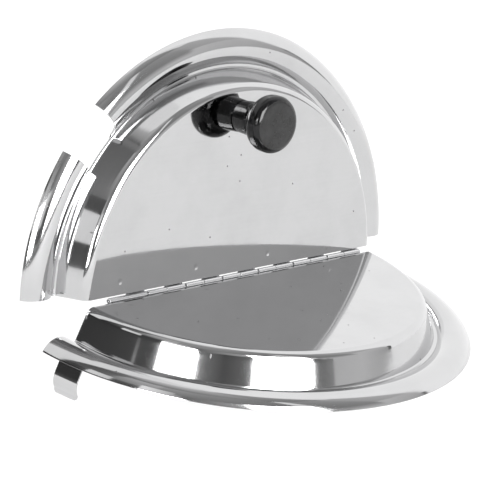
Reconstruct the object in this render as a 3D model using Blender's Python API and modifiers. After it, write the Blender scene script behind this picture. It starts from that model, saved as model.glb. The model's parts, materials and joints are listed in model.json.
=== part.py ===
"""Hinged round cover for a soup inset of a food warmer.

Units are metres and +Z is up. The design is drawn closed, centred on the dish, with z = 0 on
the upper face of the seat ring at the foot of the domed wall. The half at -Y stays put and the
half at +Y turns about the piano hinge that runs along X. It is shown open, and the whole cover
is then moved so that the origin is at the bottom centre of its bounding box.
"""
import math

import bmesh
import bpy
from mathutils import Matrix, Vector

CONTACT_GAP = 0.0003           # between pieces that touch
SCREW_GAP = 0.0003             # round the screw, in every hole that it passes
OVERCUT = 0.0100               # how far a cutter runs past what it cuts

# Covers: one sheet, pressed and then cut in two
COVER_RADIUS = 0.1260          # outer edge
SHEET = 0.0008
FLANGE_WIDTH = 0.0180
ARCH_RISE = 0.0051             # middle of the flange above the line between its two edges
EDGE_DROP = 0.0022             # outer edge below the seat ring
SEAT_WIDTH = 0.0020            # flat ring that sits on the rim of the dish
WALL_RUN = 0.0065              # how far the wall leans in from its foot to the plate
PLATE_HEIGHT = 0.0165          # top plate above the seat ring
CORNER_BEND = 0.0045           # between the wall and the plate
HALF_TURN_STEPS = 36

# Ladle notch in the flange of the hinged half, in degrees from -X towards +Y
NOTCH_START = 36.0
NOTCH_END = 49.0
NOTCH_LEDGE = 0.0010           # width of seat ring left along the bottom of the notch
NOTCH_FILLET = 0.0070          # at the far corner

# Piano hinge
OPENING = 83.0                 # degrees from closed, as shown
KNUCKLE_PITCH = 0.0127
KNUCKLE_GAP_TIGHT = 0.0003
KNUCKLE_GAP_WIDE = 0.0010
BARREL_RADIUS = 0.0016
LEAF_SHEET = 0.0006
LEAF_WIDTH = 0.0150            # from the axis to the outer edge
LEAF_CLEARANCE = 0.0004        # between the barrel and the leaf edge cut back beside it
PLATE_CLEARANCE = 0.0007       # between the barrel and the cut edge of each half
HINGE_END_ROOM = 0.0040        # least distance from the corner of the plate
HINGE_OFFSET = 0.0033          # centre of the hinge from the centre of the cover
CURL_ANGLE = 290.0             # degrees that a knuckle turns round the pin
PIN_RECESS = 0.0012

# Knob and its fasteners
KNOB_INSET = 0.0155            # centre of the knob from the corner of the plate
KNOB_BASE_RADIUS = 0.0083
KNOB_STEM_RADIUS = 0.0090
KNOB_WAIST_RADIUS = 0.0074
KNOB_HEAD_RADIUS = 0.0147
KNOB_FACE_RADIUS = 0.0108
KNOB_STEM_HEIGHT = 0.0100
KNOB_WAIST_HEIGHT = 0.0128
KNOB_HEAD_HEIGHT = 0.0195      # lower edge of the widest band
KNOB_BAND = 0.0022
KNOB_HEIGHT = 0.0258
KNOB_CROWN = 0.0003            # the face is slightly domed
INSERT_WALL = 0.0007
INSERT_LENGTH = 0.0120
INSERT_BORE_DEPTH = 0.0090
SCREW_RADIUS = 0.0020
SCREW_GRIP = 0.0070            # length of thread inside the insert
SCREW_HEAD_RADIUS = 0.0040
SCREW_HEAD_HEIGHT = 0.0024
SLOT_WIDTH = 0.0010
SLOT_DEPTH = 0.0011
WASHER_RADIUS = 0.0050
WASHER_THICKNESS = 0.0008

# Clips under the two ends of the fixed flange
CLIP_ANGLE = 9.4               # degrees from the hinge line, along the rim
CLIP_WIDTH = 0.0145
CLIP_SHEET = 0.0008
CLIP_GAP = 0.0007              # to the arch above it, which curves in plan as the clip does not
CLIP_TAB_START = 100.0         # degrees round the arch where the welded tab starts
CLIP_DROP = 0.0050             # straight run past the edge of the flange
CLIP_BEND = 0.0090
CLIP_RETURN = 33.0             # degrees that it leans back in
CLIP_LIP = 0.0024
CLIP_CORNER = 0.0018

# Worked out from the sizes above
SEAT_OUTER_RADIUS = COVER_RADIUS - FLANGE_WIDTH
SEAT_INNER_RADIUS = SEAT_OUTER_RADIUS - SEAT_WIDTH
PLATE_CORNER_RADIUS = SEAT_INNER_RADIUS - WALL_RUN
KNOB_DISTANCE = PLATE_CORNER_RADIUS - KNOB_INSET
INSERT_RADIUS = SCREW_RADIUS + SCREW_GAP + INSERT_WALL
CUT_OFFSET = BARREL_RADIUS + PLATE_CLEARANCE
LEAF_NOTCH = BARREL_RADIUS + LEAF_CLEARANCE
AXIS_HEIGHT = PLATE_HEIGHT - SHEET - CONTACT_GAP + BARREL_RADIUS - LEAF_SHEET
KNUCKLE_LENGTH = KNUCKLE_PITCH - (KNUCKLE_GAP_TIGHT + KNUCKLE_GAP_WIDE) / 2
KNUCKLE_PAIRS = int((PLATE_CORNER_RADIUS - HINGE_END_ROOM) / KNUCKLE_PITCH)
HINGE_LENGTH = 2 * KNUCKLE_PAIRS * KNUCKLE_PITCH - KNUCKLE_GAP_WIDE
HINGE_START = HINGE_OFFSET - HINGE_LENGTH / 2

COVER_STEEL = dict(color=(0.62, 0.62, 0.63), roughness=0.08, metallic=1.0)
HINGE_STEEL = dict(color=(0.58, 0.58, 0.59), roughness=0.18, metallic=1.0)
PHENOLIC = dict(color=(0.012, 0.012, 0.013), roughness=0.12, metallic=0.0)
BRASS = dict(color=(0.72, 0.52, 0.20), roughness=0.30, metallic=1.0)
PLATED_STEEL = dict(color=(0.55, 0.56, 0.58), roughness=0.30, metallic=1.0)


# Scene helpers

def clear_scene():
    for item in list(bpy.data.objects):
        bpy.data.objects.remove(item, do_unlink=True)


def new_collection(name):
    collection = bpy.data.collections.new(name)
    bpy.context.scene.collection.children.link(collection)
    return collection


def principled(name, color, roughness, metallic):
    material = bpy.data.materials.new(name)
    material.use_nodes = True
    shader = material.node_tree.nodes["Principled BSDF"]
    shader.inputs["Base Color"].default_value = (*color, 1.0)
    shader.inputs["Roughness"].default_value = roughness
    shader.inputs["Metallic"].default_value = metallic
    return material


def add_object(name, data, collection, parent, location, turn_z=0.0):
    item = bpy.data.objects.new(name, data)
    item.parent = parent
    item.location = location
    item.rotation_euler = (0.0, 0.0, math.radians(turn_z))
    collection.objects.link(item)
    return item


def part(name, mesh, finish, parent, location=(0, 0, 0), turn_z=0.0):
    """One sub-part: its own named object, with its own material, turned in degrees about Z."""
    mesh.materials.append(principled(name, **finish))
    return add_object(name, mesh, PARTS, parent, location, turn_z)


def cut(target, name, mesh):
    """Take a closed mesh, drawn in the target's own space, out of the target."""
    cutter = add_object(name, mesh, CUTTERS, target.parent, target.location)
    cutter.rotation_euler = target.rotation_euler
    cutter.hide_render = True
    cutter.display_type = "WIRE"
    boolean = target.modifiers.new(name, "BOOLEAN")
    boolean.operation = "DIFFERENCE"
    boolean.solver = "EXACT"
    boolean.object = cutter


def turn(item, steps, angle=360.0):
    """Turn a profile about Z."""
    screw = item.modifiers.new("turn", "SCREW")
    screw.angle = math.radians(angle)
    screw.steps = steps
    screw.render_steps = steps
    screw.use_merge_vertices = True
    screw.merge_threshold = 0.00001
    screw.use_smooth_shade = True


def thicken(item, thickness, offset):
    sheet = item.modifiers.new("sheet", "SOLIDIFY")
    sheet.thickness = thickness
    sheet.offset = offset
    sheet.use_even_offset = True


# Mesh helpers

def arc(center, radius, start, end, steps):
    """Points of an arc in a 2D plane, with its angles in degrees."""
    points = []
    for step in range(steps + 1):
        angle = math.radians(start + (end - start) * step / steps)
        points.append((center[0] + radius * math.cos(angle), center[1] + radius * math.sin(angle)))
    return points


def oval_arc(center, wide, tall, start, end, steps):
    """Points of an arc stretched to two half-widths."""
    unit = arc((0, 0), 1.0, start, end, steps)
    return [(center[0] + x * wide, center[1] + z * tall) for x, z in unit]


def mesh_from(name, build):
    """A mesh that a function draws in a bmesh."""
    work = bmesh.new()
    build(work)
    mesh = bpy.data.meshes.new(name)
    work.to_mesh(mesh)
    work.free()
    return mesh


def boxes(name, corners):
    """Boxes in one mesh, each given by its low and high corners."""
    def build(work):
        for low, high in corners:
            low, high = Vector(low), Vector(high)
            place = Matrix.Translation((low + high) / 2) @ Matrix.Diagonal((*(high - low), 1.0))
            bmesh.ops.create_cube(work, size=1.0, matrix=place)
    return mesh_from(name, build)


def rod(name, radius, start, end, sides=24):
    """A cylinder between two points."""
    start, end = Vector(start), Vector(end)
    aim = (end - start).to_track_quat("Z", "Y").to_matrix().to_4x4()
    place = Matrix.Translation((start + end) / 2) @ aim

    def build(work):
        bmesh.ops.create_cone(work, cap_ends=True, segments=sides, radius1=radius, radius2=radius,
                              depth=(end - start).length, matrix=place)
    return mesh_from(name, build)


def profile(name, points, closed=False):
    """A chain of edges in the XZ plane, ready to be turned."""
    edges = [(index, index + 1) for index in range(len(points) - 1)]
    if closed:
        edges.append((len(points) - 1, 0))
    mesh = bpy.data.meshes.new(name)
    mesh.from_pydata([(x, 0.0, z) for x, z in points], edges, [])
    return mesh


def strip(name, points, start, length):
    """An open sheet: a chain of points in the YZ plane, drawn out along X."""
    def build(work):
        chain = [work.verts.new((start, y, z)) for y, z in points]
        edges = [work.edges.new(pair) for pair in zip(chain, chain[1:])]
        drawn = bmesh.ops.extrude_edge_only(work, edges=edges)["geom"]
        moved = [item for item in drawn if isinstance(item, bmesh.types.BMVert)]
        bmesh.ops.translate(work, verts=moved, vec=(length, 0.0, 0.0))
    return mesh_from(name, build)


def prism(name, outline, low, high):
    """A flat outline, filled as a curve and welded into a closed prism between two heights."""
    curve = bpy.data.curves.new(name, "CURVE")
    curve.dimensions = "2D"
    curve.fill_mode = "BOTH"
    curve.extrude = (high - low) / 2
    spline = curve.splines.new("POLY")
    spline.points.add(len(outline) - 1)
    for point, (x, y) in zip(spline.points, outline):
        point.co = (x, y, 0.0, 1.0)
    spline.use_cyclic_u = True
    guide = add_object(name, curve, CUTTERS, None, (0.0, 0.0, 0.0))
    graph = bpy.context.evaluated_depsgraph_get()
    mesh = bpy.data.meshes.new_from_object(guide.evaluated_get(graph))
    bpy.data.objects.remove(guide, do_unlink=True)
    work = bmesh.new()
    work.from_mesh(mesh)
    bmesh.ops.remove_doubles(work, verts=work.verts, dist=0.000001)
    bmesh.ops.recalc_face_normals(work, faces=work.faces)
    bmesh.ops.translate(work, verts=work.verts, vec=(0.0, 0.0, (low + high) / 2))
    work.to_mesh(mesh)
    work.free()
    return mesh


# Covers

def flange_arch():
    """Centre, radius and two end angles, in degrees, of the arch from the seat to the edge."""
    inner = Vector((SEAT_OUTER_RADIUS, 0.0))
    outer = Vector((COVER_RADIUS, -EDGE_DROP))
    chord = outer - inner
    radius = (chord.length_squared / 4 + ARCH_RISE ** 2) / (2 * ARCH_RISE)
    inward = Vector((chord.y, -chord.x)).normalized()
    center = (inner + outer) / 2 + inward * (radius - ARCH_RISE)
    start, end = [math.degrees(math.atan2(*(tip - center).yx)) for tip in (inner, outer)]
    return center, radius, start, end


def cover_profile():
    """Upper face of the sheet, from the centre of the plate out to the edge."""
    slope = math.degrees(math.atan2(PLATE_HEIGHT, SEAT_INNER_RADIUS - PLATE_CORNER_RADIUS))
    bend_start = PLATE_CORNER_RADIUS - CORNER_BEND * math.tan(math.radians(slope / 2))
    points = [(0.0, PLATE_HEIGHT)]
    points += arc((bend_start, PLATE_HEIGHT - CORNER_BEND), CORNER_BEND, 90.0, 90.0 - slope, 4)
    points += [(SEAT_INNER_RADIUS, 0.0)]
    points += arc(*flange_arch(), 8)
    return points


def cover_half(name, parent, location, turn_z=0.0):
    """The half at +Y of its own origin, with its straight edge CUT_OFFSET from the hinge axis."""
    item = part(name, profile(name, cover_profile()), COVER_STEEL, parent, location, turn_z)
    turn(item, HALF_TURN_STEPS, 180.0)
    thicken(item, SHEET, -1.0)
    reach = COVER_RADIUS + OVERCUT
    depth = PLATE_HEIGHT + OVERCUT
    middle = boxes(name + "_middle", [((-reach, -OVERCUT, -depth), (reach, CUT_OFFSET, depth))])
    cut(item, name + "_middle", middle)
    return item


def notch_outline():
    """The ladle notch in plan: radial sides, and one rounded corner at its far end."""
    inner = SEAT_INNER_RADIUS + NOTCH_LEDGE
    start = 180.0 - NOTCH_START
    end = 180.0 - NOTCH_END
    away = inner + NOTCH_FILLET
    fillet = end + math.degrees(math.asin(NOTCH_FILLET / away))
    center = arc((0, 0), away, fillet, fillet, 1)[0]
    points = arc((0, 0), COVER_RADIUS + OVERCUT, end, start, 4)
    points += arc((0, 0), inner, start, fillet, 6)
    points += arc(center, NOTCH_FILLET, fillet + 180.0, end + 270.0, 6)[1:]
    return points


def fixed_half_cover(root):
    return cover_half("fixed_half_cover", root, (0, 0, 0), 180.0)


def hinged_half_cover(hinge):
    item = cover_half("hinged_half_cover", hinge, (0, 0, -AXIS_HEIGHT))
    cut(item, "ladle_notch", prism("ladle_notch", notch_outline(), -PLATE_HEIGHT, PLATE_HEIGHT / 2))
    low = (0, KNOB_DISTANCE, PLATE_HEIGHT - OVERCUT)
    high = (0, KNOB_DISTANCE, PLATE_HEIGHT + OVERCUT)
    cut(item, "knob_hole", rod("knob_hole", SCREW_RADIUS + SCREW_GAP, low, high))
    return item


# Hinge

def own_knuckle(pair, hinged):
    """Left and right ends of a leaf's knuckle in a pair: the fixed leaf's comes first."""
    start = HINGE_START + 2 * KNUCKLE_PITCH * pair
    if hinged:
        start += KNUCKLE_LENGTH + KNUCKLE_GAP_TIGHT
    return start, start + KNUCKLE_LENGTH


def leaf(name, parent, location, side, hinged):
    """A leaf whose edge curls round the axis; the curl is cut away between its own knuckles."""
    middle = BARREL_RADIUS - LEAF_SHEET / 2
    chain = [(LEAF_WIDTH, -middle)] + arc((0, 0), middle, 270.0, 270.0 - CURL_ANGLE, 18)
    chain = [(side * y, z) for y, z in chain]
    item = part(name, strip(name, chain, HINGE_START, HINGE_LENGTH), HINGE_STEEL, parent, location)
    thicken(item, LEAF_SHEET, 0.0)
    near, far = sorted((-side * (BARREL_RADIUS + OVERCUT), side * LEAF_NOTCH))
    gaps = []
    left = HINGE_START - OVERCUT
    for pair in range(KNUCKLE_PAIRS):
        start, end = own_knuckle(pair, hinged)
        if start > HINGE_START:
            gaps.append((left, start))
        left = end
    if left < HINGE_START + HINGE_LENGTH:
        gaps.append((left, HINGE_START + HINGE_LENGTH + OVERCUT))
    corners = [((low, near, -OVERCUT), (high, far, OVERCUT)) for low, high in gaps]
    cut(item, name + "_gaps", boxes(name + "_gaps", corners))
    return item


def hinge_pin(root):
    radius = BARREL_RADIUS - LEAF_SHEET - CONTACT_GAP
    start = (HINGE_START + PIN_RECESS, 0, 0)
    end = (HINGE_START + HINGE_LENGTH - PIN_RECESS, 0, 0)
    return part("hinge_pin", rod("hinge_pin", radius, start, end, 16), HINGE_STEEL, root,
                (0, 0, AXIS_HEIGHT))


# Knob and its fasteners, each drawn with z = 0 on its lowest or seating face

def knob(hinge):
    bore = INSERT_RADIUS + CONTACT_GAP
    edge_low = KNOB_HEAD_HEIGHT + KNOB_BAND
    face_edge = KNOB_HEIGHT - KNOB_CROWN
    points = [(0.0, KNOB_HEIGHT), (KNOB_FACE_RADIUS, face_edge)]
    points += oval_arc((KNOB_FACE_RADIUS, edge_low), KNOB_HEAD_RADIUS - KNOB_FACE_RADIUS,
                      face_edge - edge_low, 90.0, 0.0, 5)[1:]
    points += oval_arc((KNOB_WAIST_RADIUS, KNOB_HEAD_HEIGHT), KNOB_HEAD_RADIUS - KNOB_WAIST_RADIUS,
                      KNOB_HEAD_HEIGHT - KNOB_WAIST_HEIGHT, 0.0, -90.0, 6)
    points += [(KNOB_STEM_RADIUS, KNOB_STEM_HEIGHT), (KNOB_BASE_RADIUS, 0.0)]
    points += [(bore, 0.0), (bore, INSERT_LENGTH + CONTACT_GAP), (0.0, INSERT_LENGTH + CONTACT_GAP)]
    location = (0, KNOB_DISTANCE, PLATE_HEIGHT + CONTACT_GAP - AXIS_HEIGHT)
    item = part("knob", profile("knob", points), PHENOLIC, hinge, location)
    turn(item, 32)
    return item


def knob_insert(hinge):
    bore = SCREW_RADIUS + SCREW_GAP
    points = [(0.0, INSERT_LENGTH), (INSERT_RADIUS, INSERT_LENGTH), (INSERT_RADIUS, 0.0), (bore, 0.0),
              (bore, INSERT_BORE_DEPTH), (0.0, INSERT_BORE_DEPTH)]
    location = (0, KNOB_DISTANCE, PLATE_HEIGHT + CONTACT_GAP - AXIS_HEIGHT)
    item = part("knob_insert", profile("knob_insert", points), BRASS, hinge, location)
    turn(item, 20)
    return item


def knob_washer(hinge):
    bore = SCREW_RADIUS + SCREW_GAP
    points = [(WASHER_RADIUS, WASHER_THICKNESS), (WASHER_RADIUS, 0.0), (bore, 0.0),
              (bore, WASHER_THICKNESS)]
    height = PLATE_HEIGHT - SHEET - CONTACT_GAP - WASHER_THICKNESS
    location = (0, KNOB_DISTANCE, height - AXIS_HEIGHT)
    item = part("knob_washer", profile("knob_washer", points, closed=True), PLATED_STEEL, hinge, location)
    turn(item, 24)
    return item


def knob_screw(hinge):
    """A slotted pan-head screw, drawn with z = 0 under its head."""
    stack = CONTACT_GAP + WASHER_THICKNESS + CONTACT_GAP + SHEET + CONTACT_GAP
    points = [(0.0, stack + SCREW_GRIP), (SCREW_RADIUS, stack + SCREW_GRIP), (SCREW_RADIUS, 0.0),
              (SCREW_HEAD_RADIUS, 0.0)]
    points += oval_arc((0.0, -SCREW_HEAD_HEIGHT / 2), SCREW_HEAD_RADIUS, SCREW_HEAD_HEIGHT / 2,
                      0.0, -90.0, 5)
    location = (0, KNOB_DISTANCE, PLATE_HEIGHT + CONTACT_GAP - stack - AXIS_HEIGHT)
    item = part("knob_screw", profile("knob_screw", points), PLATED_STEEL, hinge, location)
    turn(item, 20)
    low = (-SCREW_HEAD_RADIUS - OVERCUT, -SLOT_WIDTH / 2, -SCREW_HEAD_HEIGHT - OVERCUT)
    high = (SCREW_HEAD_RADIUS + OVERCUT, SLOT_WIDTH / 2, SLOT_DEPTH - SCREW_HEAD_HEIGHT)
    cut(item, "screw_slot", boxes("screw_slot", [(low, high)]))
    return item


# Clips

def clip_profile():
    """Middle of the strip, in a plane through the centre of the cover: distance out and height."""
    center, arch_radius, _, edge = flange_arch()
    radius = arch_radius - SHEET - CLIP_GAP - CLIP_SHEET / 2
    points = arc(center, radius, CLIP_TAB_START, edge, 6)
    out, down = math.sin(math.radians(edge)), -math.cos(math.radians(edge))
    y, z = points[-1][0] + CLIP_DROP * out, points[-1][1] + CLIP_DROP * down
    bend = (y + CLIP_BEND * down, z - CLIP_BEND * out)
    points += arc(bend, CLIP_BEND, edge, -CLIP_RETURN, 8)
    y, z = points[-1]
    points.append((y, z - CLIP_LIP))
    return points


def clip(name, root, turn_z):
    mesh = strip(name, clip_profile(), -CLIP_WIDTH / 2, CLIP_WIDTH)
    item = part(name, mesh, COVER_STEEL, root, (0, 0, 0), turn_z)
    lowest = min(vertex.co.z for vertex in mesh.vertices)
    corners = item.vertex_groups.new(name="corners")
    corners.add([v.index for v in mesh.vertices if v.co.z < lowest + CLIP_LIP / 2], 1.0, "REPLACE")
    rounding = item.modifiers.new("corners", "BEVEL")
    rounding.affect = "VERTICES"
    rounding.limit_method = "VGROUP"
    rounding.vertex_group = corners.name
    rounding.width = CLIP_CORNER
    rounding.segments = 4
    thicken(item, CLIP_SHEET, 0.0)
    return item


def stand_at_origin(root):
    """Move the cover so that the origin is at the bottom centre of its bounding box."""
    bpy.context.view_layer.update()
    graph = bpy.context.evaluated_depsgraph_get()
    corners = []
    for item in PARTS.objects:
        if item.type == "MESH":
            solid = item.evaluated_get(graph)
            corners += [solid.matrix_world @ vertex.co for vertex in solid.data.vertices]
    low = Vector([min(corner[axis] for corner in corners) for axis in range(3)])
    high = Vector([max(corner[axis] for corner in corners) for axis in range(3)])
    root.location -= Vector(((low.x + high.x) / 2, (low.y + high.y) / 2, low.z))
    bpy.context.view_layer.update()


clear_scene()
PARTS = new_collection("hinged_inset_cover")
CUTTERS = new_collection("cutters")
cover_root = add_object("cover_root", None, PARTS, None, (0, 0, 0))
hinge_axis = add_object("hinge_axis", None, PARTS, cover_root, (0, 0, AXIS_HEIGHT))
hinge_axis.rotation_euler.x = math.radians(OPENING)

fixed_half_cover(cover_root)
hinged_half_cover(hinge_axis)
leaf("hinge_leaf_fixed", cover_root, (0, 0, AXIS_HEIGHT), -1, hinged=False)
leaf("hinge_leaf_hinged", hinge_axis, (0, 0, 0), 1, hinged=True)
hinge_pin(cover_root)
knob(hinge_axis)
knob_insert(hinge_axis)
knob_washer(hinge_axis)
knob_screw(hinge_axis)
clip("clip_left", cover_root, 90.0 + CLIP_ANGLE)
clip("clip_right", cover_root, -90.0 - CLIP_ANGLE)
stand_at_origin(cover_root)
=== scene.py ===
"""A round stainless inset cover: one half stays on the dish, the other lifts on a piano hinge."""

import json
import math

import bmesh
import bpy
import numpy as np
from mathutils import Matrix, Vector
from mathutils.geometry import delaunay_2d_cdt

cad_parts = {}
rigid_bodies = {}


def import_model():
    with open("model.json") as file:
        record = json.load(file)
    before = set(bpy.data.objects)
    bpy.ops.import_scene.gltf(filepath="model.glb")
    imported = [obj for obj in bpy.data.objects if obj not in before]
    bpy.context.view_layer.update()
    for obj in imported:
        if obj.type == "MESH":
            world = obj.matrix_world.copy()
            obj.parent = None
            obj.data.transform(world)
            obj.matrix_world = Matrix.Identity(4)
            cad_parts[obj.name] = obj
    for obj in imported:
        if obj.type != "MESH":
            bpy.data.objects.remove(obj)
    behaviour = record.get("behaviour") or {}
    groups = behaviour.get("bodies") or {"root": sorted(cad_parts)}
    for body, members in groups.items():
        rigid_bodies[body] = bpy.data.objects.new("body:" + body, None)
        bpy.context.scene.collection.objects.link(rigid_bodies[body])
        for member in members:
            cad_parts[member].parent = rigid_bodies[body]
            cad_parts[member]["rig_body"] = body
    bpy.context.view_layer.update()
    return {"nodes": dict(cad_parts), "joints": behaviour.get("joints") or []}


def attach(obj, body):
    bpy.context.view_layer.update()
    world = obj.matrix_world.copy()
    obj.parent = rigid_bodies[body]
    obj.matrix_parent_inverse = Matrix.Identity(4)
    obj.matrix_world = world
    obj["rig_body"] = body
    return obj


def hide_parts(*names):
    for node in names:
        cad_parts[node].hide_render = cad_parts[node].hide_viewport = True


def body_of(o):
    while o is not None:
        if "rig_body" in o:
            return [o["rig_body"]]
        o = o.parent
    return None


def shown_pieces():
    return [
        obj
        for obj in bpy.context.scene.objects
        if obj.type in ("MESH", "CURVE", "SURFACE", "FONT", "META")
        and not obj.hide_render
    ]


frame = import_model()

# Sizes in metres and angles in degrees. Each half is drawn closed, with the centre of the
# cover at x = y = 0 and z = 0 on the upper face of the ring that sits on the dish.

CONTACT_GAP = 0.0003
SCREW_GAP = 0.0003

COVER_RADIUS = 0.1260
SHEET = 0.0008
FLANGE_WIDTH = 0.0180
ARCH_RISE = 0.0051
EDGE_DROP = 0.0022
SEAT_WIDTH = 0.0020
WALL_RUN = 0.0065
PLATE_HEIGHT = 0.0165
CORNER_BEND = 0.0045
VALLEY_BEND = 0.0011
SEAT_BEND = 0.0007
SHEET_EDGE = 0.00016            # rounding of a cut edge

NOTCH_START = 36.0
NOTCH_END = 49.0
NOTCH_LEDGE = 0.0010
NOTCH_FILLET = 0.0070

KNUCKLE_PITCH = 0.0127
KNUCKLE_GAP_TIGHT = 0.0003
KNUCKLE_GAP_WIDE = 0.0010
BARREL_RADIUS = 0.0016
LEAF_SHEET = 0.0006
LEAF_EDGE = 0.00011
LEAF_WIDTH = 0.0150
LEAF_CLEARANCE = 0.0004
PLATE_CLEARANCE = 0.0007
HINGE_END_ROOM = 0.0040
HINGE_OFFSET = 0.0033
CURL_ANGLE = 290.0
PIN_RECESS = 0.0012
PIN_DOME = 0.0001
PIN_BEND = 0.0003

WELD_SPACING = 0.0505
WELD_FIRST = -0.0780
WELD_DISTANCE = 0.0090
WELD_RADIUS = 0.0021
WELD_DEPTH = 0.00010

KNOB_INSET = 0.0155
KNOB_BASE_RADIUS = 0.0083
KNOB_STEM_RADIUS = 0.0090
KNOB_WAIST_RADIUS = 0.0074
KNOB_HEAD_RADIUS = 0.0147
KNOB_FACE_RADIUS = 0.0108
KNOB_STEM_HEIGHT = 0.0100
KNOB_WAIST_HEIGHT = 0.0128
KNOB_HEAD_HEIGHT = 0.0195
KNOB_BAND = 0.0022
KNOB_HEIGHT = 0.0258
KNOB_CROWN = 0.0003
KNOB_STEP = 0.0006
KNOB_STEP_TAPER = 0.0003
KNOB_BEND = 0.0004
INSERT_RADIUS = 0.0030
INSERT_LENGTH = 0.0120
SCREW_RADIUS = 0.0020
SCREW_GRIP = 0.0070
SCREW_HEAD_RADIUS = 0.0040
SCREW_HEAD_HEIGHT = 0.0024
SCREW_THREAD_PITCH = 0.0007
SCREW_THREAD_DEPTH = 0.0003
SCREW_TIP = 0.0004
SCREW_HEAD_BREAK = 0.0002
SCREW_EDGE = 0.00006
SLOT_WIDTH = 0.0010
SLOT_DEPTH = 0.0011
SLOT_CUTTER_ROOM = 0.0010       # how far the cutter stands out of the screw's head
WASHER_RADIUS = 0.0050
WASHER_THICKNESS = 0.0008
WASHER_EDGE = 0.00010

CLIP_ANGLE = 9.4
CLIP_WIDTH = 0.0145
CLIP_SHEET = 0.0008
CLIP_GAP = 0.00072
CLIP_TAB_START = 100.0
CLIP_DROP = 0.0050
CLIP_BEND = 0.0090
CLIP_RETURN = 33.0
CLIP_LIP = 0.00238
CLIP_CORNER = 0.0018
CLIP_CORNER_TURNS = (12, 24, 36, 48, 60, 72, 82, 90)

SEAT_OUTER_RADIUS = COVER_RADIUS - FLANGE_WIDTH
SEAT_INNER_RADIUS = SEAT_OUTER_RADIUS - SEAT_WIDTH
PLATE_CORNER_RADIUS = SEAT_INNER_RADIUS - WALL_RUN
KNOB_DISTANCE = PLATE_CORNER_RADIUS - KNOB_INSET
CUT_OFFSET = BARREL_RADIUS + PLATE_CLEARANCE
LEAF_NOTCH = BARREL_RADIUS + LEAF_CLEARANCE
AXIS_HEIGHT = PLATE_HEIGHT - SHEET - CONTACT_GAP + BARREL_RADIUS - LEAF_SHEET
KNUCKLE_LENGTH = KNUCKLE_PITCH - (KNUCKLE_GAP_TIGHT + KNUCKLE_GAP_WIDE) / 2
KNUCKLE_PAIRS = int((PLATE_CORNER_RADIUS - HINGE_END_ROOM) / KNUCKLE_PITCH)
HINGE_LENGTH = 2 * KNUCKLE_PAIRS * KNUCKLE_PITCH - KNUCKLE_GAP_WIDE
HINGE_START = HINGE_OFFSET - HINGE_LENGTH / 2
SCREW_STACK = CONTACT_GAP + WASHER_THICKNESS + CONTACT_GAP + SHEET + CONTACT_GAP

HINGE_JOINT = frame["joints"][0]
AXIS = Vector(HINGE_JOINT["pos_m"])
OPENING = -HINGE_JOINT["range_deg"][0]
DOWN_TO_SEAT = Matrix.Translation((0.0, 0.0, -AXIS_HEIGHT))
FIXED_PLACE = Matrix.Translation(AXIS) @ DOWN_TO_SEAT
HINGED_PLACE = Matrix.Translation(AXIS) @ Matrix.Rotation(math.radians(OPENING), 4, "X") @ DOWN_TO_SEAT
HALF_TURN = Matrix.Rotation(math.pi, 4, "Z")


# Lines and meshes

MERGE_DISTANCE = 0.0000004
LEAST_EDGE = 0.0000002
BEVEL_ANGLE = 55.0


def arc(center, radius, start, end, steps):
    """Points of an arc in a plane, with its angles in degrees."""
    points = []
    for step in range(steps + 1):
        angle = math.radians(start + (end - start) * step / steps)
        points.append((center[0] + radius * math.cos(angle), center[1] + radius * math.sin(angle)))
    return points


def oval_arc(center, wide, tall, start, end, steps):
    """Points of an arc stretched to two half-widths."""
    unit = arc((0.0, 0.0), 1.0, start, end, steps)
    return [(center[0] + x * wide, center[1] + y * tall) for x, y in unit]


def bent_line(corners, steps=6):
    """A line through corners (x, y) or (x, y, bend radius), with each bend an arc."""
    points = []
    last = len(corners) - 1
    for index, corner in enumerate(corners):
        here = Vector(corner[:2])
        bend = corner[2] if len(corner) > 2 else 0.0
        if bend == 0.0 or index in (0, last):
            points.append(tuple(here))
            continue
        back = (Vector(corners[index - 1][:2]) - here).normalized()
        ahead = (Vector(corners[index + 1][:2]) - here).normalized()
        half = math.acos(max(-1.0, min(1.0, back.dot(ahead)))) / 2
        middle = here + (back + ahead).normalized() * (bend / math.sin(half))
        first = here + back * (bend / math.tan(half)) - middle
        final = here + ahead * (bend / math.tan(half)) - middle
        sweep = first.angle_signed(final)
        for step in range(steps + 1):
            share = Vector(first)
            share.rotate(Matrix.Rotation(-sweep * step / steps, 2))
            points.append(tuple(middle + share))
    return points


def refine(points, longest):
    """The same line with no step longer than a length."""
    fine = [points[0]]
    for start, end in zip(points, points[1:]):
        start, end = Vector(start), Vector(end)
        count = max(1, math.ceil((end - start).length / longest))
        fine += [tuple(start.lerp(end, step / count)) for step in range(1, count + 1)]
    return fine


def mesh_of(name, points, faces):
    """A mesh with its doubled points joined and its faces all turned outwards."""
    mesh = bpy.data.meshes.new(name)
    mesh.from_pydata([tuple(point) for point in points], [], faces)
    work = bmesh.new()
    work.from_mesh(mesh)
    bmesh.ops.remove_doubles(work, verts=work.verts, dist=MERGE_DISTANCE)
    bmesh.ops.dissolve_degenerate(work, edges=work.edges, dist=LEAST_EDGE)
    bmesh.ops.recalc_face_normals(work, faces=work.faces)
    work.to_mesh(mesh)
    work.free()
    return mesh


def grid_faces(rows, columns, keep=lambda row, column: True):
    """Faces of a grid of points numbered row by row."""
    faces = []
    for row in range(rows - 1):
        for column in range(columns - 1):
            if keep(row, column):
                first = row * columns + column
                faces.append((first, first + 1, first + columns + 1, first + columns))
    return faces


def turned(name, points, steps=96):
    """A closed solid of revolution about Z, from a line of (radius, height) points."""
    rows = []
    for radius, height in points:
        for step in range(steps + 1):
            angle = 2 * math.pi * step / steps
            rows.append((radius * math.cos(angle), radius * math.sin(angle), height))
    return mesh_of(name, rows, grid_faces(len(points), steps + 1))


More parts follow.
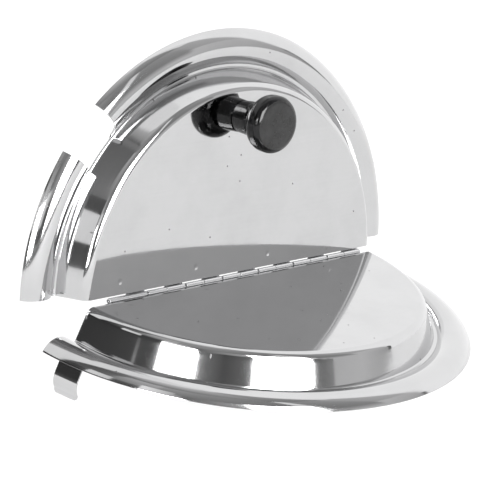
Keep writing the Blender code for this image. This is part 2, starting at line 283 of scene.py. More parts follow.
def worked(name, mesh, modifiers):
    """The mesh after modifiers, each given as its type and settings, as a new mesh."""
    item = bpy.data.objects.new(name, mesh)
    bpy.context.scene.collection.objects.link(item)
    for kind, settings in modifiers:
        modifier = item.modifiers.new(kind.lower(), kind)
        for key, value in settings.items():
            setattr(modifier, key, value)
    graph = bpy.context.evaluated_depsgraph_get()
    made = bpy.data.meshes.new_from_object(item.evaluated_get(graph), preserve_all_data_layers=True,
                                           depsgraph=graph)
    bpy.data.objects.remove(item, do_unlink=True)
    made.name = name
    return made


def smoothed(name, mesh, edge=0.0, sharp=40.0, before=()):
    """The mesh with its edges rounded and shaded smooth."""
    modifiers = list(before)
    if edge:
        modifiers.append(("BEVEL", {"width": edge, "segments": 2, "limit_method": "ANGLE",
                                    "angle_limit": math.radians(BEVEL_ANGLE),
                                    "use_clamp_overlap": True}))
    mesh.shade_smooth()
    made = worked(name, mesh, modifiers)
    made.shade_smooth()
    made.set_sharp_from_angle(angle=math.radians(sharp))
    weighted = ("WEIGHTED_NORMAL", {"weight": 50, "keep_sharp": True, "mode": "FACE_AREA"})
    return worked(name, made, [weighted])


def sheet_metal(name, mesh, thickness, offset, edge=SHEET_EDGE):
    """A surface thickened into sheet, with rounded edges."""
    sheet = ("SOLIDIFY", {"thickness": thickness, "offset": offset, "use_even_offset": True,
                          "use_quality_normals": True})
    return smoothed(name, mesh, edge, before=[sheet])


def face_up(mesh):
    """Turn a surface over where most of it faces down."""
    up = sum(face.normal.z * face.area for face in mesh.polygons)
    if up < 0:
        mesh.flip_normals()
    return mesh


# Covers

COLUMN_STEP = 1.2               # degrees between the columns of points round a cover
ROW_STEP = 0.0011
END_SPREAD = 6.0                # degrees in which the end columns lean to the straight cut
NOTCH_EASE_BEFORE = 6.0         # degrees in which the rows bend to the notch, and back after it
NOTCH_EASE_AFTER = 8.0
CUT_STEPS = 40
WELD_RINGS = 7
WELD_STEPS = 20
HOLE_STEPS = 48


def flange_arch():
    """Centre, radius and end angles of the arch of the flange."""
    inner = Vector((SEAT_OUTER_RADIUS, 0.0))
    outer = Vector((COVER_RADIUS, -EDGE_DROP))
    chord = outer - inner
    radius = (chord.length_squared / 4 + ARCH_RISE ** 2) / (2 * ARCH_RISE)
    inward = Vector((chord.y, -chord.x)).normalized()
    center = (inner + outer) / 2 + inward * (radius - ARCH_RISE)
    start, end = [math.degrees(math.atan2(*(tip - center).yx)) for tip in (inner, outer)]
    return center, radius, start, end


def cover_line():
    """Upper face of the sheet from the start of the corner bend out to the edge."""
    corners = [(0.0, PLATE_HEIGHT), (PLATE_CORNER_RADIUS, PLATE_HEIGHT, CORNER_BEND),
               (SEAT_INNER_RADIUS, 0.0, VALLEY_BEND), (SEAT_OUTER_RADIUS, 0.0, SEAT_BEND)]
    arch = arc(*flange_arch(), 30)[1:]
    return bent_line(corners + arch, 9)[1:]


def along(points):
    """Distance of each point along a line."""
    steps = np.linalg.norm(np.diff(np.array(points), axis=0), axis=1)
    return np.concatenate([[0.0], np.cumsum(steps)])


def welded_height(x, y, welds):
    """Height of the plate, with a shallow dimple at each spot weld."""
    for weld in welds:
        reach = math.hypot(x - weld[0], y - weld[1]) / WELD_RADIUS
        if reach < 1.0:
            return PLATE_HEIGHT - WELD_DEPTH * (0.5 + 0.5 * math.cos(math.pi * reach))
    return PLATE_HEIGHT


def ring(center, radius, steps):
    """Points of a circle, each once."""
    return [(center[0] + x, center[1] + y) for x, y in arc((0, 0), radius, 0.0, 360.0, steps)[:-1]]


def plate_mesh(border, welds, hole):
    """The flat plate inside its border, with rings of points where the welds dip."""
    points = list(border)
    edges = [(index, (index + 1) % len(border)) for index in range(len(border))]
    for weld in welds:
        points.append(weld)
        for step in range(1, WELD_RINGS + 1):
            points += ring(weld, WELD_RADIUS * step / WELD_RINGS, WELD_STEPS)
    if hole:
        first = len(points)
        points += ring(*hole, HOLE_STEPS)
        edges += [(first + index, first + (index + 1) % HOLE_STEPS) for index in range(HOLE_STEPS)]
    found, _, faces, _, _, _ = delaunay_2d_cdt([Vector(point) for point in points], edges, [], 1, 1e-9)
    kept = []
    for face in faces:
        middle = sum((found[index] for index in face), Vector((0.0, 0.0))) / len(face)
        if not hole or (middle - Vector(hole[0])).length > hole[1]:
            kept.append(face)
    return [(x, y, welded_height(x, y, welds)) for x, y in found], kept


def notch_reach(angle):
    """Radius at which the sheet ends in the ladle notch, at an angle from +X."""
    inner = SEAT_INNER_RADIUS + NOTCH_LEDGE
    away = inner + NOTCH_FILLET
    end = 180.0 - NOTCH_END
    middle = end + math.degrees(math.asin(NOTCH_FILLET / away))
    if angle >= middle:
        return inner
    turn = math.radians(angle - middle)
    return away * math.cos(turn) - math.sqrt(max(0.0, NOTCH_FILLET ** 2 - (away * math.sin(turn)) ** 2))


def column_angles(notch, start, fillet_end, end):
    """Angles of the cover's columns from +X, closer together in the fillet of the notch."""
    between = np.arange(END_SPREAD + COLUMN_STEP, 180.0 - END_SPREAD, COLUMN_STEP)
    angles = list(np.linspace(0.0, END_SPREAD, 7)) + list(between)
    angles += list(np.linspace(180.0 - END_SPREAD, 180.0, 7))
    if notch:
        angles = [angle for angle in angles if not start - 0.5 < angle < end + 0.5]
        angles += list(start + (fillet_end - start) * (1 - np.cos(np.linspace(0, math.pi / 2, 9))))
        angles += list(np.linspace(fillet_end, end, 9))[1:]
        angles.sort()
    return angles


def cover_half(name, welds, notch, hole=None):
    """One half at +Y, its straight edge CUT_OFFSET from the hinge axis."""
    line = refine(cover_line(), ROW_STEP)
    radii, heights = np.array(line).T
    reach = along(line)
    fine_reach = np.linspace(0.0, reach[-1], 4000)
    fine_radius = np.interp(fine_reach, reach, radii)
    start, end = 180.0 - NOTCH_END, 180.0 - NOTCH_START
    away = SEAT_INNER_RADIUS + NOTCH_LEDGE + NOTCH_FILLET
    fillet_end = start + math.degrees(math.asin(NOTCH_FILLET / away))
    angles = column_angles(notch, start, fillet_end, end)
    seat_row = int(np.argmin(np.abs(radii - SEAT_INNER_RADIUS)))
    corner_radius = math.sqrt(away ** 2 - NOTCH_FILLET ** 2)
    knee = int(np.argmin(np.abs(radii - corner_radius)))

    def knee_reach(angle):
        def at(radius):
            return float(np.interp(radius, fine_radius, fine_reach))
        if angle < start:
            share = max(0.0, 1.0 - (start - angle) / NOTCH_EASE_BEFORE)
            return reach[knee] + (at(corner_radius) - reach[knee]) * share
        if angle > end:
            share = max(0.0, 1.0 - (angle - end) / NOTCH_EASE_AFTER)
            share = share * share * (3 - 2 * share)
            return reach[knee] + (at(notch_reach(end)) - reach[knee]) * share
        return at(notch_reach(angle))

    columns = []
    for angle in angles:
        moved = reach.copy()
        if notch:
            bend = knee_reach(angle)
            moved = np.interp(reach, [0.0, reach[seat_row], reach[knee], reach[-1]],
                              [0.0, reach[seat_row], bend, reach[-1]])
        column = []
        for far in moved:
            radius, height = np.interp(far, reach, radii), np.interp(far, reach, heights)
            least = math.degrees(math.asin(CUT_OFFSET / radius))
            side = min(angle, 180.0 - angle)
            if side < END_SPREAD:
                side = least + (END_SPREAD - least) * side / END_SPREAD
            turn = math.radians(side if angle < 90.0 else 180.0 - side)
            column.append((radius * math.cos(turn), radius * math.sin(turn), height))
        columns.append(column)
    rows = len(line)
    points = [columns[column][row] for row in range(rows) for column in range(len(angles))]

    def keep(row, column):
        middle = (angles[column] + angles[column + 1]) / 2
        return not (notch and start < middle < end and row >= knee)

    faces = grid_faces(rows, len(angles), keep)
    border = [columns[column][0][:2] for column in range(len(angles))]
    right, left = border[0], border[-1]
    border += [(left[0] + (right[0] - left[0]) * step / CUT_STEPS, CUT_OFFSET)
               for step in range(1, CUT_STEPS)]
    plate_points, plate_faces = plate_mesh(border, welds, hole)
    faces += [tuple(index + len(points) for index in face) for face in plate_faces]
    return sheet_metal(name, face_up(mesh_of(name, points + plate_points, faces)), SHEET, -1.0)


# Hinge

def leaf(name, side, hinged):
    """A leaf whose edge curls round the axis at its own knuckles, drawn about the axis."""
    middle = BARREL_RADIUS - LEAF_SHEET / 2
    flat = [(LEAF_WIDTH, -middle), (LEAF_WIDTH * 0.55, -middle), (LEAF_NOTCH, -middle)]
    curl = arc((0, 0), middle, 270.0, 270.0 - CURL_ANGLE, 40)
    chain = [(side * y, z) for y, z in flat + curl]
    stops = [HINGE_START, HINGE_START + HINGE_LENGTH]
    knuckles = []
    for pair in range(KNUCKLE_PAIRS):
        start = HINGE_START + 2 * KNUCKLE_PITCH * pair
        if hinged:
            start += KNUCKLE_LENGTH + KNUCKLE_GAP_TIGHT
        knuckles.append((start, start + KNUCKLE_LENGTH))
        stops += knuckles[-1]
    stops = sorted(set(round(stop, 7) for stop in stops))
    points = [(x, y, z) for y, z in chain for x in stops]

    def keep(row, column):
        middle_x = (stops[column] + stops[column + 1]) / 2
        return row < 2 or any(start < middle_x < end for start, end in knuckles)

    mesh = mesh_of(name, points, grid_faces(len(chain), len(stops), keep))
    return sheet_metal(name, mesh, LEAF_SHEET, 0.0, LEAF_EDGE)


def pin():
    """The pin along the barrel, with slightly rounded ends."""
    radius = BARREL_RADIUS - LEAF_SHEET - CONTACT_GAP
    half = HINGE_LENGTH / 2 - PIN_RECESS
    line = bent_line([(0.0, half), (radius, half - PIN_DOME, PIN_BEND), (radius, 0.0),
                      (radius, PIN_DOME - half, PIN_BEND), (0.0, -half)], 4)
    mesh = turned("pin", refine(line, 0.012), 32)
    mesh.transform(Matrix.Translation((HINGE_OFFSET, 0, 0)) @ Matrix.Rotation(math.pi / 2, 4, "Y"))
    return smoothed("pin", mesh)


# Knob and its fasteners, each drawn with z = 0 on its lowest or seating face

def knob_mesh():
    """The moulded knob: face, round rim, waist, stem and the bore for its insert."""
    bore = INSERT_RADIUS + CONTACT_GAP
    edge_low = KNOB_HEAD_HEIGHT + KNOB_BAND
    face_edge = KNOB_HEIGHT - KNOB_CROWN
    line = [(0.0, KNOB_HEIGHT), (KNOB_FACE_RADIUS * 0.5, KNOB_HEIGHT - KNOB_CROWN * 0.25)]
    line += oval_arc((KNOB_FACE_RADIUS, edge_low), KNOB_HEAD_RADIUS - KNOB_FACE_RADIUS,
                     face_edge - edge_low, 90.0, 0.0, 16)
    line += oval_arc((KNOB_WAIST_RADIUS, KNOB_HEAD_HEIGHT), KNOB_HEAD_RADIUS - KNOB_WAIST_RADIUS,
                     KNOB_HEAD_HEIGHT - KNOB_WAIST_HEIGHT, 0.0, -90.0, 18)
    line += bent_line([(KNOB_WAIST_RADIUS, KNOB_WAIST_HEIGHT),
                       (KNOB_STEM_RADIUS - KNOB_STEP_TAPER, KNOB_STEM_HEIGHT + KNOB_STEP, KNOB_BEND),
                       (KNOB_STEM_RADIUS, KNOB_STEM_HEIGHT - KNOB_STEP, KNOB_STEP),
                       (KNOB_BASE_RADIUS, 0.0, KNOB_BEND), (bore, 0.0)], 5)[1:]
    line += [(bore, INSERT_LENGTH + CONTACT_GAP), (0.0, INSERT_LENGTH + CONTACT_GAP)]
    return smoothed("knob_turned", turned("knob_turned", line, 96), sharp=50.0)


def washer_mesh():
    """A flat washer round the screw."""
    bore = SCREW_RADIUS + SCREW_GAP
    line = [(WASHER_RADIUS, WASHER_THICKNESS), (WASHER_RADIUS, 0.0), (bore, 0.0),
            (bore, WASHER_THICKNESS), (WASHER_RADIUS, WASHER_THICKNESS)]
    return smoothed("washer_turned", turned("washer_turned", line, 64), WASHER_EDGE)


def screw_mesh():
    """A slotted pan-head screw with a rolled thread."""
    tip = SCREW_STACK + SCREW_GRIP
    root = SCREW_RADIUS - SCREW_THREAD_DEPTH
    line = [(0.0, tip), (SCREW_RADIUS - SCREW_TIP, tip)]
    height = tip - SCREW_THREAD_PITCH / 2
    while height > SCREW_STACK:
        line += [(SCREW_RADIUS, height), (root, height - SCREW_THREAD_PITCH / 2)]
        height -= SCREW_THREAD_PITCH
    line += [(SCREW_RADIUS, SCREW_STACK - SCREW_TIP), (SCREW_RADIUS, 0.0),
             (SCREW_HEAD_RADIUS - SCREW_HEAD_BREAK, 0.0), (SCREW_HEAD_RADIUS, -SCREW_HEAD_BREAK)]
    line += oval_arc((0.0, -SCREW_HEAD_HEIGHT / 2), SCREW_HEAD_RADIUS, SCREW_HEAD_HEIGHT / 2,
                     0.0, -90.0, 12)
    mesh = turned("screw_turned", line, 48)
    slot = bpy.data.meshes.new("slot")
    work = bmesh.new()
    middle = (0.0, 0.0, SLOT_DEPTH / 2 - SCREW_HEAD_HEIGHT - SLOT_CUTTER_ROOM / 2)
    size = Matrix.Diagonal((SCREW_HEAD_RADIUS * 3, SLOT_WIDTH, SLOT_DEPTH + SLOT_CUTTER_ROOM, 1.0))
    bmesh.ops.create_cube(work, size=1.0, matrix=Matrix.Translation(middle) @ size)
    work.to_mesh(slot)
    work.free()
    cutter = bpy.data.objects.new("slot", slot)
    bpy.context.scene.collection.objects.link(cutter)
    cut = ("BOOLEAN", {"operation": "DIFFERENCE", "solver": "EXACT", "object": cutter})
    made = smoothed("screw_turned", mesh, SCREW_EDGE, before=[cut])
    bpy.data.objects.remove(cutter, do_unlink=True)
    return made


# Clips

def clip_line():
    """Middle line of a clip: under the flange, down past its edge and curled back in."""
    center, arch_radius, _, edge = flange_arch()
    radius = arch_radius - SHEET - CLIP_GAP - CLIP_SHEET / 2
    points = arc(center, radius, CLIP_TAB_START, edge, 16)
    out, down = math.sin(math.radians(edge)), -math.cos(math.radians(edge))
    x, z = points[-1][0] + CLIP_DROP * out, points[-1][1] + CLIP_DROP * down
    bend = (x + CLIP_BEND * down, z - CLIP_BEND * out)
    points += arc(bend, CLIP_BEND, edge, -CLIP_RETURN, 22)
    x, z = points[-1]
    points += [(x, z - CLIP_LIP + CLIP_CORNER)]
    points += [(x, z - CLIP_LIP + CLIP_CORNER * (1 - math.sin(math.radians(turn))))
               for turn in CLIP_CORNER_TURNS]
    return points


def clip_mesh(name):
    """A clip as a strip along its line, with the corners of its lip rounded."""
    line = clip_line()
    lowest = line[-1][1]
    points = []
    shares = np.linspace(-1.0, 1.0, 15)
    for x, z in line:
        short = max(0.0, CLIP_CORNER - (z - lowest))
        half = CLIP_WIDTH / 2 - (CLIP_CORNER - math.sqrt(max(0.0, CLIP_CORNER ** 2 - short ** 2)))
        points += [(share * half, x, z) for share in shares]
    mesh = mesh_of(name, points, grid_faces(len(line), len(shares)))
    return sheet_metal(name, mesh, CLIP_SHEET, 0.0)


# Pieces

SCENE = bpy.context.scene


def lay_grain(mesh, lie):
    """Where each corner lies as drawn, and again with the grain of the metal along the first axis."""
    places = np.empty(len(mesh.vertices) * 3)
    mesh.vertices.foreach_get("co", places)
    corners = np.empty(len(mesh.loops), int)
    mesh.loops.foreach_get("vertex_index", corners)
    drawn = places.reshape(-1, 3)[corners]
    radius = np.hypot(drawn[:, 0], drawn[:, 1])
    angle = np.arctan2(drawn[:, 1], drawn[:, 0])
    round_it = np.stack([angle * max(radius.max(), 0.001), radius, drawn[:, 2]], axis=1)
    if lie == "cover":
        sizes = np.empty(len(mesh.polygons), int)
        mesh.polygons.foreach_get("loop_total", sizes)
        middles = np.empty(len(mesh.polygons) * 3)
        mesh.polygons.foreach_get("center", middles)
        middles = np.repeat(middles.reshape(-1, 3), sizes, axis=0)
        flat = np.hypot(middles[:, 0], middles[:, 1]) < PLATE_CORNER_RADIUS - CORNER_BEND
        lined = np.where(flat[:, None], drawn, round_it)
    elif lie == "turned":
        lined = round_it
    else:
        lined = drawn
    for name, values in (("drawn_place", drawn), ("grain_place", lined)):
        stored = mesh.attributes.new(name, "FLOAT_VECTOR", "CORNER")
        stored.data.foreach_set("vector", values.ravel())


def place(name, mesh, body, node, finish, matrix, lie="along"):
    """One piece that stands for a CAD node and moves with its body."""
    lay_grain(mesh, lie)
    mesh.transform(matrix)
    item = bpy.data.objects.new(name, mesh)
    SCENE.collection.objects.link(item)
    item.data.materials.clear()
    item.data.materials.append(finish)
    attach(item, body)
    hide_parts(node)
    return item


class Value:
    """A shader socket that takes part in sums."""

    def __init__(self, finish, socket):
        self.finish = finish
        self.socket = socket

    def __add__(self, other):
        return self.finish.math("ADD", self, other)

    __radd__ = __add__

    def __sub__(self, other):
        return self.finish.math("SUBTRACT", self, other)

    def __rsub__(self, other):
        return self.finish.math("SUBTRACT", other, self)

    def __mul__(self, other):
        return self.finish.math("MULTIPLY", self, other)

    __rmul__ = __mul__

    def __gt__(self, other):
        return self.finish.math("GREATER_THAN", self, other)

    def __lt__(self, other):
        return self.finish.math("LESS_THAN", self, other)


class Finish:
    """A material under construction."""

    def __init__(self, name):
        self.material = bpy.data.materials.new(name)
        self.material.use_nodes = True
        self.nodes = self.material.node_tree.nodes
        self.links = self.material.node_tree.links
        self.shader = self.nodes["Principled BSDF"]

    def node(self, kind, settings=None, output=0, **sockets):
        """A node: its type, its settings, then the values or links of its sockets."""
        made = self.nodes.new(kind)
        for key, value in (settings or {}).items():
            setattr(made, key, value)
        for key, value in sockets.items():
            numbered = key[0] == "i" and key[1:].isdigit()
            self.feed(made.inputs[int(key[1:]) if numbered else key.replace("_", " ")], value)
        return Value(self, made.outputs[output])

    def feed(self, socket, value):
        """Link a socket, or set it."""
        if isinstance(value, Value):
            self.links.new(value.socket, socket)
        else:
            socket.default_value = value

    def math(self, operation, first, second=0.0):
        return self.node("ShaderNodeMath", {"operation": operation}, i0=first, i1=second)

    def mix(self, share, first, second):
        """A colour between two others."""
        return self.node("ShaderNodeMix", {"data_type": "RGBA"}, output=2, i0=share, i6=first, i7=second)

    def ramp(self, value, low, high):
        """0 up to one value, rising to 1 at another."""
        made = self.node("ShaderNodeValToRGB", Fac=value)
        stops = made.socket.node.color_ramp.elements
        stops[0].position = low
        stops[1].position = high
        return made

    def place(self, attribute="drawn_place", scale=(1.0, 1.0, 1.0)):
        """Where a point lies on the piece as drawn, or along its grain."""
        spot = self.node("ShaderNodeAttribute", {"attribute_name": attribute}, output=1)
        return self.node("ShaderNodeMapping", Vector=spot, Scale=scale)

    def noise(self, where, scale, detail=3.0, roughness=0.5):
        return self.node("ShaderNodeTexNoise", Vector=where, Scale=scale, Detail=detail,
                         Roughness=roughness)

    def bump(self, height, distance, strength=1.0, normal=None):
        below = {} if normal is None else {"Normal": normal}
        return self.node("ShaderNodeBump", Height=height, Distance=distance, Strength=strength, **below)

    def set(self, **sockets):
        """Feed the shader, and hand over the material."""
        for key, value in sockets.items():
            self.feed(self.shader.inputs[key.replace("_", " ")], value)
        return self.material


def spots(finish, where, scale, size, share):
    """1 in small specks, at the middles of a share of the cells of a pattern."""
    flat = {"voronoi_dimensions": "2D"}
    near = finish.node("ShaderNodeTexVoronoi", flat, Vector=where, Scale=scale)
    pick = finish.node("ShaderNodeTexVoronoi", flat, output=1, Vector=where, Scale=scale)
    pick = finish.node("ShaderNodeSeparateColor", Color=pick)
    return (near < size * scale) * (pick < share)


# The finishes' patterns: how many to the metre, and how far they reach.

GRAIN_STRETCH = (0.03, 1.0, 1.0)
SMUDGE_SCALE = 38.0
POLISH_SCALE = 900.0
DRAWN_SCALE = 420.0
SPECK_SCALE = 105.0
SPECK_SIZE = 0.00045
WAVE_SCALE = 14.0
WAVE_HEIGHT = 0.00006
FORMED_BELOW = PLATE_HEIGHT - 0.0030
FORMED_FADE = 0.0020
FORMED_LINES = 6.0
# The knob's haze pattern, which also patches the painted sheen on its top face, and how deep that
# lighter, rougher top face reaches.
WEAR_AND_SHEEN_SCALE = 120.0
FACE_WEAR_AND_SHEEN_DEPTH = 0.0008
PEEL_SCALE = 900.0
PEEL_HEIGHT = 0.000006


def steel(name, color, rough, grain, smudge, speck, drawn_rough=0.0):
    """Stainless steel: faint polishing lines, smudges and a few dark specks.

    Below the plate, where the sheet was drawn round the die, the lines are deeper."""
    finish = Finish(name)
    where = finish.place()
    stretched = finish.place("grain_place", GRAIN_STRETCH)
    cloud = finish.noise(where, SMUDGE_SCALE, 4.0, 0.6)
    haze = finish.ramp(cloud, 0.42, 0.70)
    fine = finish.noise(stretched, POLISH_SCALE, 2.0, 0.6)
    lines = finish.noise(stretched, DRAWN_SCALE, 2.0, 0.6)
    height = finish.node("ShaderNodeSeparateXYZ", output=2, Vector=where)
    formed = finish.node("ShaderNodeMath", {"operation": "MULTIPLY", "use_clamp": True},
                         i0=FORMED_BELOW - height, i1=1.0 / FORMED_FADE)
    wave = finish.noise(where, WAVE_SCALE, 1.0, 0.4)
    dots = spots(finish, where, SPECK_SCALE, SPECK_SIZE, speck)
    dark = tuple(part * 0.90 for part in color) + (1.0,)
    tint = finish.mix(haze * 0.5 + fine * 0.3, (*color, 1.0), dark)
    tint = finish.mix(dots * 0.75, tint, (0.10, 0.10, 0.10, 1.0))
    roughness = haze * smudge + fine * 0.02 + dots * 0.3 + formed * drawn_rough + rough
    broad = finish.bump(wave, WAVE_HEIGHT, 0.5)
    lined = finish.bump(fine + formed * lines * FORMED_LINES, grain, 1.0, broad)
    return finish.set(Base_Color=tint, Metallic=1.0, Roughness=roughness, Normal=lined)


def phenolic():
    """Glossy black moulded plastic with a soft orange peel; its top face is rougher with wear and
    painted a lighter grey as a painted sheen.
    """
    finish = Finish("black phenolic")
    where = finish.place()
    cloud = finish.noise(where, WEAR_AND_SHEEN_SCALE, 4.0, 0.6)
    peel = finish.noise(where, PEEL_SCALE, 2.0, 0.5)
    haze = finish.ramp(cloud, 0.40, 0.75)
    height = finish.node("ShaderNodeSeparateXYZ", output=2, Vector=where)
    # The top face: made rougher, as wear, and painted a lighter grey (0.022), a painted sheen standing
    # in for its reflection of the light.
    face_wear_and_sheen = height > KNOB_HEIGHT - FACE_WEAR_AND_SHEEN_DEPTH
    tint = finish.mix(haze, (0.002, 0.002, 0.002, 1.0), (0.005, 0.005, 0.006, 1.0))
    tint = finish.mix(face_wear_and_sheen * (haze * 0.5 + 0.5), tint, (0.022, 0.022, 0.022, 1.0))
    roughness = haze * 0.06 + peel * 0.03 + face_wear_and_sheen * 0.10 + 0.08
    return finish.set(Base_Color=tint, Roughness=roughness, IOR=1.41,
                      Normal=finish.bump(peel, PEEL_HEIGHT))


def brass():
    """Turned brass, dulled in patches."""
    finish = Finish("insert brass")
    where = finish.node("ShaderNodeTexCoord", output=3)
    cloud = finish.noise(where, 260.0, 4.0, 0.6)
    tint = finish.mix(cloud, (0.72, 0.52, 0.22, 1.0), (0.45, 0.30, 0.12, 1.0))
    return finish.set(Base_Color=tint, Metallic=1.0, Roughness=cloud * 0.25 + 0.22,
                      Normal=finish.bump(cloud, 0.00003))


POLISHED = steel("polished stainless", (0.56, 0.56, 0.565), rough=0.03, grain=0.0000006, smudge=0.03,
                 speck=0.10, drawn_rough=0.04)
HINGE_STEEL = steel("hinge stainless", (0.64, 0.64, 0.65), rough=0.18, grain=0.0000015, smudge=0.06,
                    speck=0.01)
PLATED = steel("plated fasteners", (0.55, 0.56, 0.58), rough=0.20, grain=0.000004, smudge=0.12,
               speck=0.02)
PHENOLIC = phenolic()
BRASS = brass()

hinged_welds = [(WELD_FIRST + WELD_SPACING * count, WELD_DISTANCE) for count in range(4)]
fixed_welds = [(-x, y) for x, y in hinged_welds]
knob_hole = ((0.0, KNOB_DISTANCE), SCREW_RADIUS + SCREW_GAP)

place("fixed_half_shell", cover_half("fixed_half_shell", fixed_welds, notch=False), "fixed_half",
      "fixed_half_cover", POLISHED, FIXED_PLACE @ HALF_TURN, "cover")
place("hinged_half_shell", cover_half("hinged_half_shell", hinged_welds, True, knob_hole), "hinged_half",
      "hinged_half_cover", POLISHED, HINGED_PLACE, "cover")

on_axis = Matrix.Translation((0, 0, AXIS_HEIGHT))
place("fixed_leaf_rolled", leaf("fixed_leaf_rolled", -1, False), "fixed_half", "hinge_leaf_fixed",
      HINGE_STEEL, FIXED_PLACE @ on_axis)
place("hinged_leaf_rolled", leaf("hinged_leaf_rolled", 1, True), "hinged_half", "hinge_leaf_hinged",
      HINGE_STEEL, HINGED_PLACE @ on_axis)
place("pin_turned", pin(), "fixed_half", "hinge_pin", HINGE_STEEL,
      FIXED_PLACE @ on_axis)


def knob_place(height):
    """Where a piece on the knob's axis stands, from the height of its lowest or seating face."""
    return HINGED_PLACE @ Matrix.Translation((0, KNOB_DISTANCE, height))


place("knob_turned", knob_mesh(), "hinged_half", "knob", PHENOLIC,
      knob_place(PLATE_HEIGHT + CONTACT_GAP), "turned")
place("washer_turned", washer_mesh(), "hinged_half", "knob_washer", PLATED,
      knob_place(PLATE_HEIGHT - SHEET - CONTACT_GAP - WASHER_THICKNESS), "turned")
place("screw_turned", screw_mesh(), "hinged_half", "knob_screw", PLATED,
      knob_place(PLATE_HEIGHT + CONTACT_GAP - SCREW_STACK), "turned")
frame["nodes"]["knob_insert"].data.materials.clear()
frame["nodes"]["knob_insert"].data.materials.append(BRASS)

for side, turn in (("left", 90.0 + CLIP_ANGLE), ("right", -90.0 - CLIP_ANGLE)):
    name = f"clip_{side}_bent"
    place(name, clip_mesh(name), "fixed_half", f"clip_{side}", POLISHED,
          FIXED_PLACE @ Matrix.Rotation(math.radians(turn), 4, "Z"))


# Floor, light and camera

FLOOR_REACH = 6.0
FLOOR_GLOW = 0.84
STUDIO_LIGHT = 1.13
DOME_RADIUS = 2.5
LAMP_RADIUS = 2.4
TABLE_EDGE_RADIUS = 1.35
KNOB_SIDE_RADIUS = 0.40
FLANGE_SIDE_RADIUS = 0.306
CARD_STEP = 6.0                 # longest side of a card's faces, in degrees


def resting_line():
    """Slope and height of the floor that the cover stands on: two clips and its front rim."""
    points = []
    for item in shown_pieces():
        if body_of(item) == ["fixed_half"]:
            points += [tuple((item.matrix_world @ vertex.co).yz) for vertex in item.data.vertices]
    low = []
    for point in sorted(points):
        while len(low) > 1:
            (a, b), (c, d) = low[-2:]
            if (c - a) * (point[1] - b) - (d - b) * (point[0] - a) > 0:
                break
            low.pop()
        low.append(point)
    (y1, z1), (y2, z2) = max(zip(low, low[1:]), key=lambda pair: pair[1][0] - pair[0][0])
    slope = (z2 - z1) / (y2 - y1)
    return slope, z1 - slope * y1


SLOPE, HEIGHT = resting_line()
STAGE = Matrix.Translation((0, 0, HEIGHT)) @ Matrix.Rotation(math.atan(SLOPE), 4, "X")


def stage_piece(name, points, faces, material, seen=True):
    """Part of the studio, laid out on the tilted floor."""
    mesh = bpy.data.meshes.new(name)
    mesh.from_pydata(points, [], faces)
    mesh.materials.append(material)
    item = bpy.data.objects.new(name, mesh)
    SCENE.collection.objects.link(item)
    item.matrix_world = STAGE
    item.visible_camera = seen
    return item


def floor_paper():
    """A pale translucent table top, lit a little from below."""
    finish = Finish("floor paper")
    where = finish.node("ShaderNodeTexCoord", output=3)
    cloud = finish.noise(where, 3.0, 3.0)
    tint = finish.mix(cloud, (0.25, 0.25, 0.25, 1.0), (0.23, 0.23, 0.23, 1.0))
    return finish.set(Base_Color=tint, Roughness=0.9, Normal=finish.bump(cloud, 0.0002),
                      Emission_Color=(1.0, 1.0, 1.0, 1.0), Emission_Strength=FLOOR_GLOW)


def card(name, turns, rises, shines, radius=DOME_RADIUS):
    """A card on a dome round the cover: bearings from +Y towards +X and heights, in degrees.

    Its brightness is one value, or one at each bearing, or those two again for its upper edge."""
    shines = shines if hasattr(shines, "__len__") else (shines, shines)
    low, high = np.array(shines[:2]), np.array(shines[-2:])
    columns = int((turns[1] - turns[0]) / CARD_STEP) + 2
    rows = int((rises[1] - rises[0]) / CARD_STEP) + 2
    points, shade = [], []
    for row in range(rows):
        up = row / (rows - 1)
        rise = math.radians(rises[0] + (rises[1] - rises[0]) * up)
        for column in range(columns):
            side = column / (columns - 1)
            turn = math.radians(turns[0] + (turns[1] - turns[0]) * side)
            points.append((radius * math.sin(turn) * math.cos(rise),
                           radius * math.cos(turn) * math.cos(rise), radius * math.sin(rise)))
            ends = low + (high - low) * up
            shade.append(float(ends[0] + (ends[1] - ends[0]) * side))
    item = stage_piece(name, points, grid_faces(rows, columns), CARD_FINISH, seen=False)
    stored = item.data.attributes.new("shine", "FLOAT", "POINT")
    stored.data.foreach_set("value", shade)


def card_finish():
    """A card that only glows, by the brightness stored at its points."""
    finish = Finish("glowing card")
    shine = finish.node("ShaderNodeAttribute", {"attribute_name": "shine"}, output=0)
    finish.shader.inputs["Specular IOR Level"].default_value = 0.0
    return finish.set(Base_Color=(0.0, 0.0, 0.0, 1.0), Roughness=1.0, Emission_Color=shine,
                      Emission_Strength=STUDIO_LIGHT)


CARD_FINISH = card_finish()

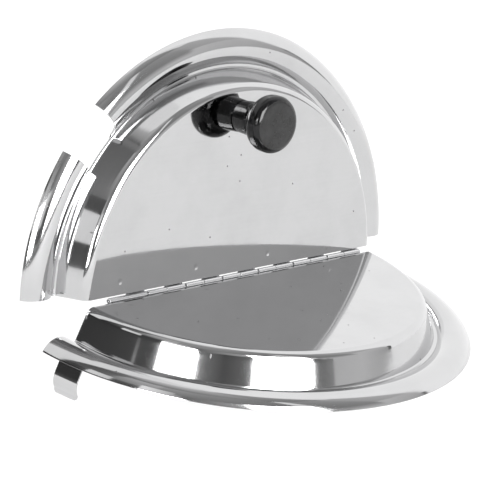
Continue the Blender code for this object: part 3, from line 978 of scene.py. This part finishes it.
# Each card's name, bearings, heights, brightness, and its distance where it isn't the dome's.
CARDS = (
    ("overhead_near", (-180.0, -110.0), (37.5, 64.0), (0.24, 0.28, 0.30, 0.46)),
    ("overhead_pale", (-110.0, -84.0), (37.5, 64.0), (0.40, 0.24, 0.60, 0.56)),
    ("overhead_dark", (-84.0, -60.0), (37.5, 70.0), (0.20, 0.10)),
    ("overhead_top", (-180.0, -60.0), (64.0, 86.0), (0.32, 0.18, 0.60, 0.90)),
    ("overhead_left", (134.0, 180.0), (60.0, 84.0), (0.30, 0.24, 0.50, 0.44)),
    ("overhead_far", (-20.0, 34.0), (52.0, 68.0), (0.30, 0.18)),
    ("dark_room_low", (-101.5, -47.0), (2.5, 25.0), (0.16, 0.10, 0.05, 0.01)),
    ("dark_room_high", (-101.5, -60.0), (25.0, 37.5), (0.10, 0.06, 0.16, 0.06)),
    ("dark_gap_left", (-137.0, -122.0), (3.0, 17.0), (0.10, 0.26)),
    ("dark_gap_right", (-152.5, -137.0), (3.0, 17.0), (0.18, 0.10)),
    ("dark_above_gap", (-152.5, -122.0), (17.0, 37.5), (0.50, 0.18)),
    ("near_window", (-122.0, -101.5), (3.0, 22.0), 12.0),
    ("near_window_top", (-122.0, -101.5), (22.0, 32.0), (0.60, 0.95, 0.45, 0.70)),
    ("near_window_frame", (-122.0, -101.5), (32.0, 37.5), (0.36, 0.56)),
    ("front_window", (175.0, 207.5), (3.0, 38.0), 12.0),
    ("window_post", (162.5, 175.0), (-0.5, 16.0), (0.32, 0.12)),
    ("pale_flag", (144.0, 162.5), (-0.5, 9.0), (0.66, 0.62)),
    ("dark_flag_low", (144.0, 170.0), (9.0, 26.0), (0.72, 0.66, 0.34, 0.26)),
    ("dark_flag_high", (144.0, 172.0), (26.0, 62.0), (0.34, 0.24, 0.44, 0.34)),
    ("grey_flag_low", (123.0, 144.0), (-0.5, 30.0), (0.46, 0.66, 0.66, 0.68)),
    ("grey_flag_high", (123.0, 144.0), (30.0, 60.0), (0.60, 0.48)),
    ("flag_edge", (120.5, 123.0), (-0.5, 14.0), 0.15),
    ("bright_side", (34.0, 120.5), (-1.0, 86.0), (1.14, 1.22)),
    ("lamp_tall", (-89.0, -87.6), (9.0, 17.4), 0.50, LAMP_RADIUS),
    ("table_edge", (-188.0, -86.0), (0.0, 4.0), 0.24, TABLE_EDGE_RADIUS),
    ("near_reflector", (-88.0, -77.0), (20.0, 33.0), (0.85, 1.00), KNOB_SIDE_RADIUS),
    ("flange_reflector", (-114.0, -100.0), (21.0, 34.0), (0.60, 1.25), FLANGE_SIDE_RADIUS),
)

floor_corners = [(side * FLOOR_REACH, far * FLOOR_REACH, 0)
                 for side, far in ((-1, -1), (1, -1), (1, 1), (-1, 1))]
stage_piece("floor", floor_corners, [(0, 1, 2, 3)], floor_paper())
for card_sizes in CARDS:
    card(*card_sizes)

world = bpy.data.worlds.new("studio")
SCENE.world = world
world.use_nodes = True
world.node_tree.nodes["Background"].inputs["Color"].default_value = (1.0, 1.0, 1.0, 1.0)
world.node_tree.nodes["Background"].inputs["Strength"].default_value = STUDIO_LIGHT

CAMERA_TURN = math.radians(45.669)
CAMERA_RISE = math.radians(19.529)
CAMERA_ROLL = math.radians(8.272)
CAMERA_DISTANCE = 1.27801
CAMERA_LENS = 185.57
CAMERA_SENSOR = 36.0
AIM_SIDE = 0.000166
AIM_UP = 0.034316

back = Vector((-math.sin(CAMERA_TURN) * math.cos(CAMERA_RISE),
               -math.cos(CAMERA_TURN) * math.cos(CAMERA_RISE), math.sin(CAMERA_RISE)))
right = Vector((math.cos(CAMERA_TURN), -math.sin(CAMERA_TURN), 0.0))
up = back.cross(right)
turned_right = right * math.cos(CAMERA_ROLL) + up * math.sin(CAMERA_ROLL)
turned_up = up * math.cos(CAMERA_ROLL) - right * math.sin(CAMERA_ROLL)
eye = FIXED_PLACE.translation + right * AIM_SIDE + up * AIM_UP + back * CAMERA_DISTANCE
camera = bpy.data.objects.new("camera", bpy.data.cameras.new("camera"))
SCENE.collection.objects.link(camera)
camera.data.lens = CAMERA_LENS
camera.data.sensor_width = CAMERA_SENSOR
axes = Matrix((turned_right, turned_up, back)).transposed().to_4x4()
camera.matrix_world = Matrix.Translation(eye) @ axes
SCENE.camera = camera
SCENE.view_settings.view_transform = "Standard"

bpy.context.view_layer.update()
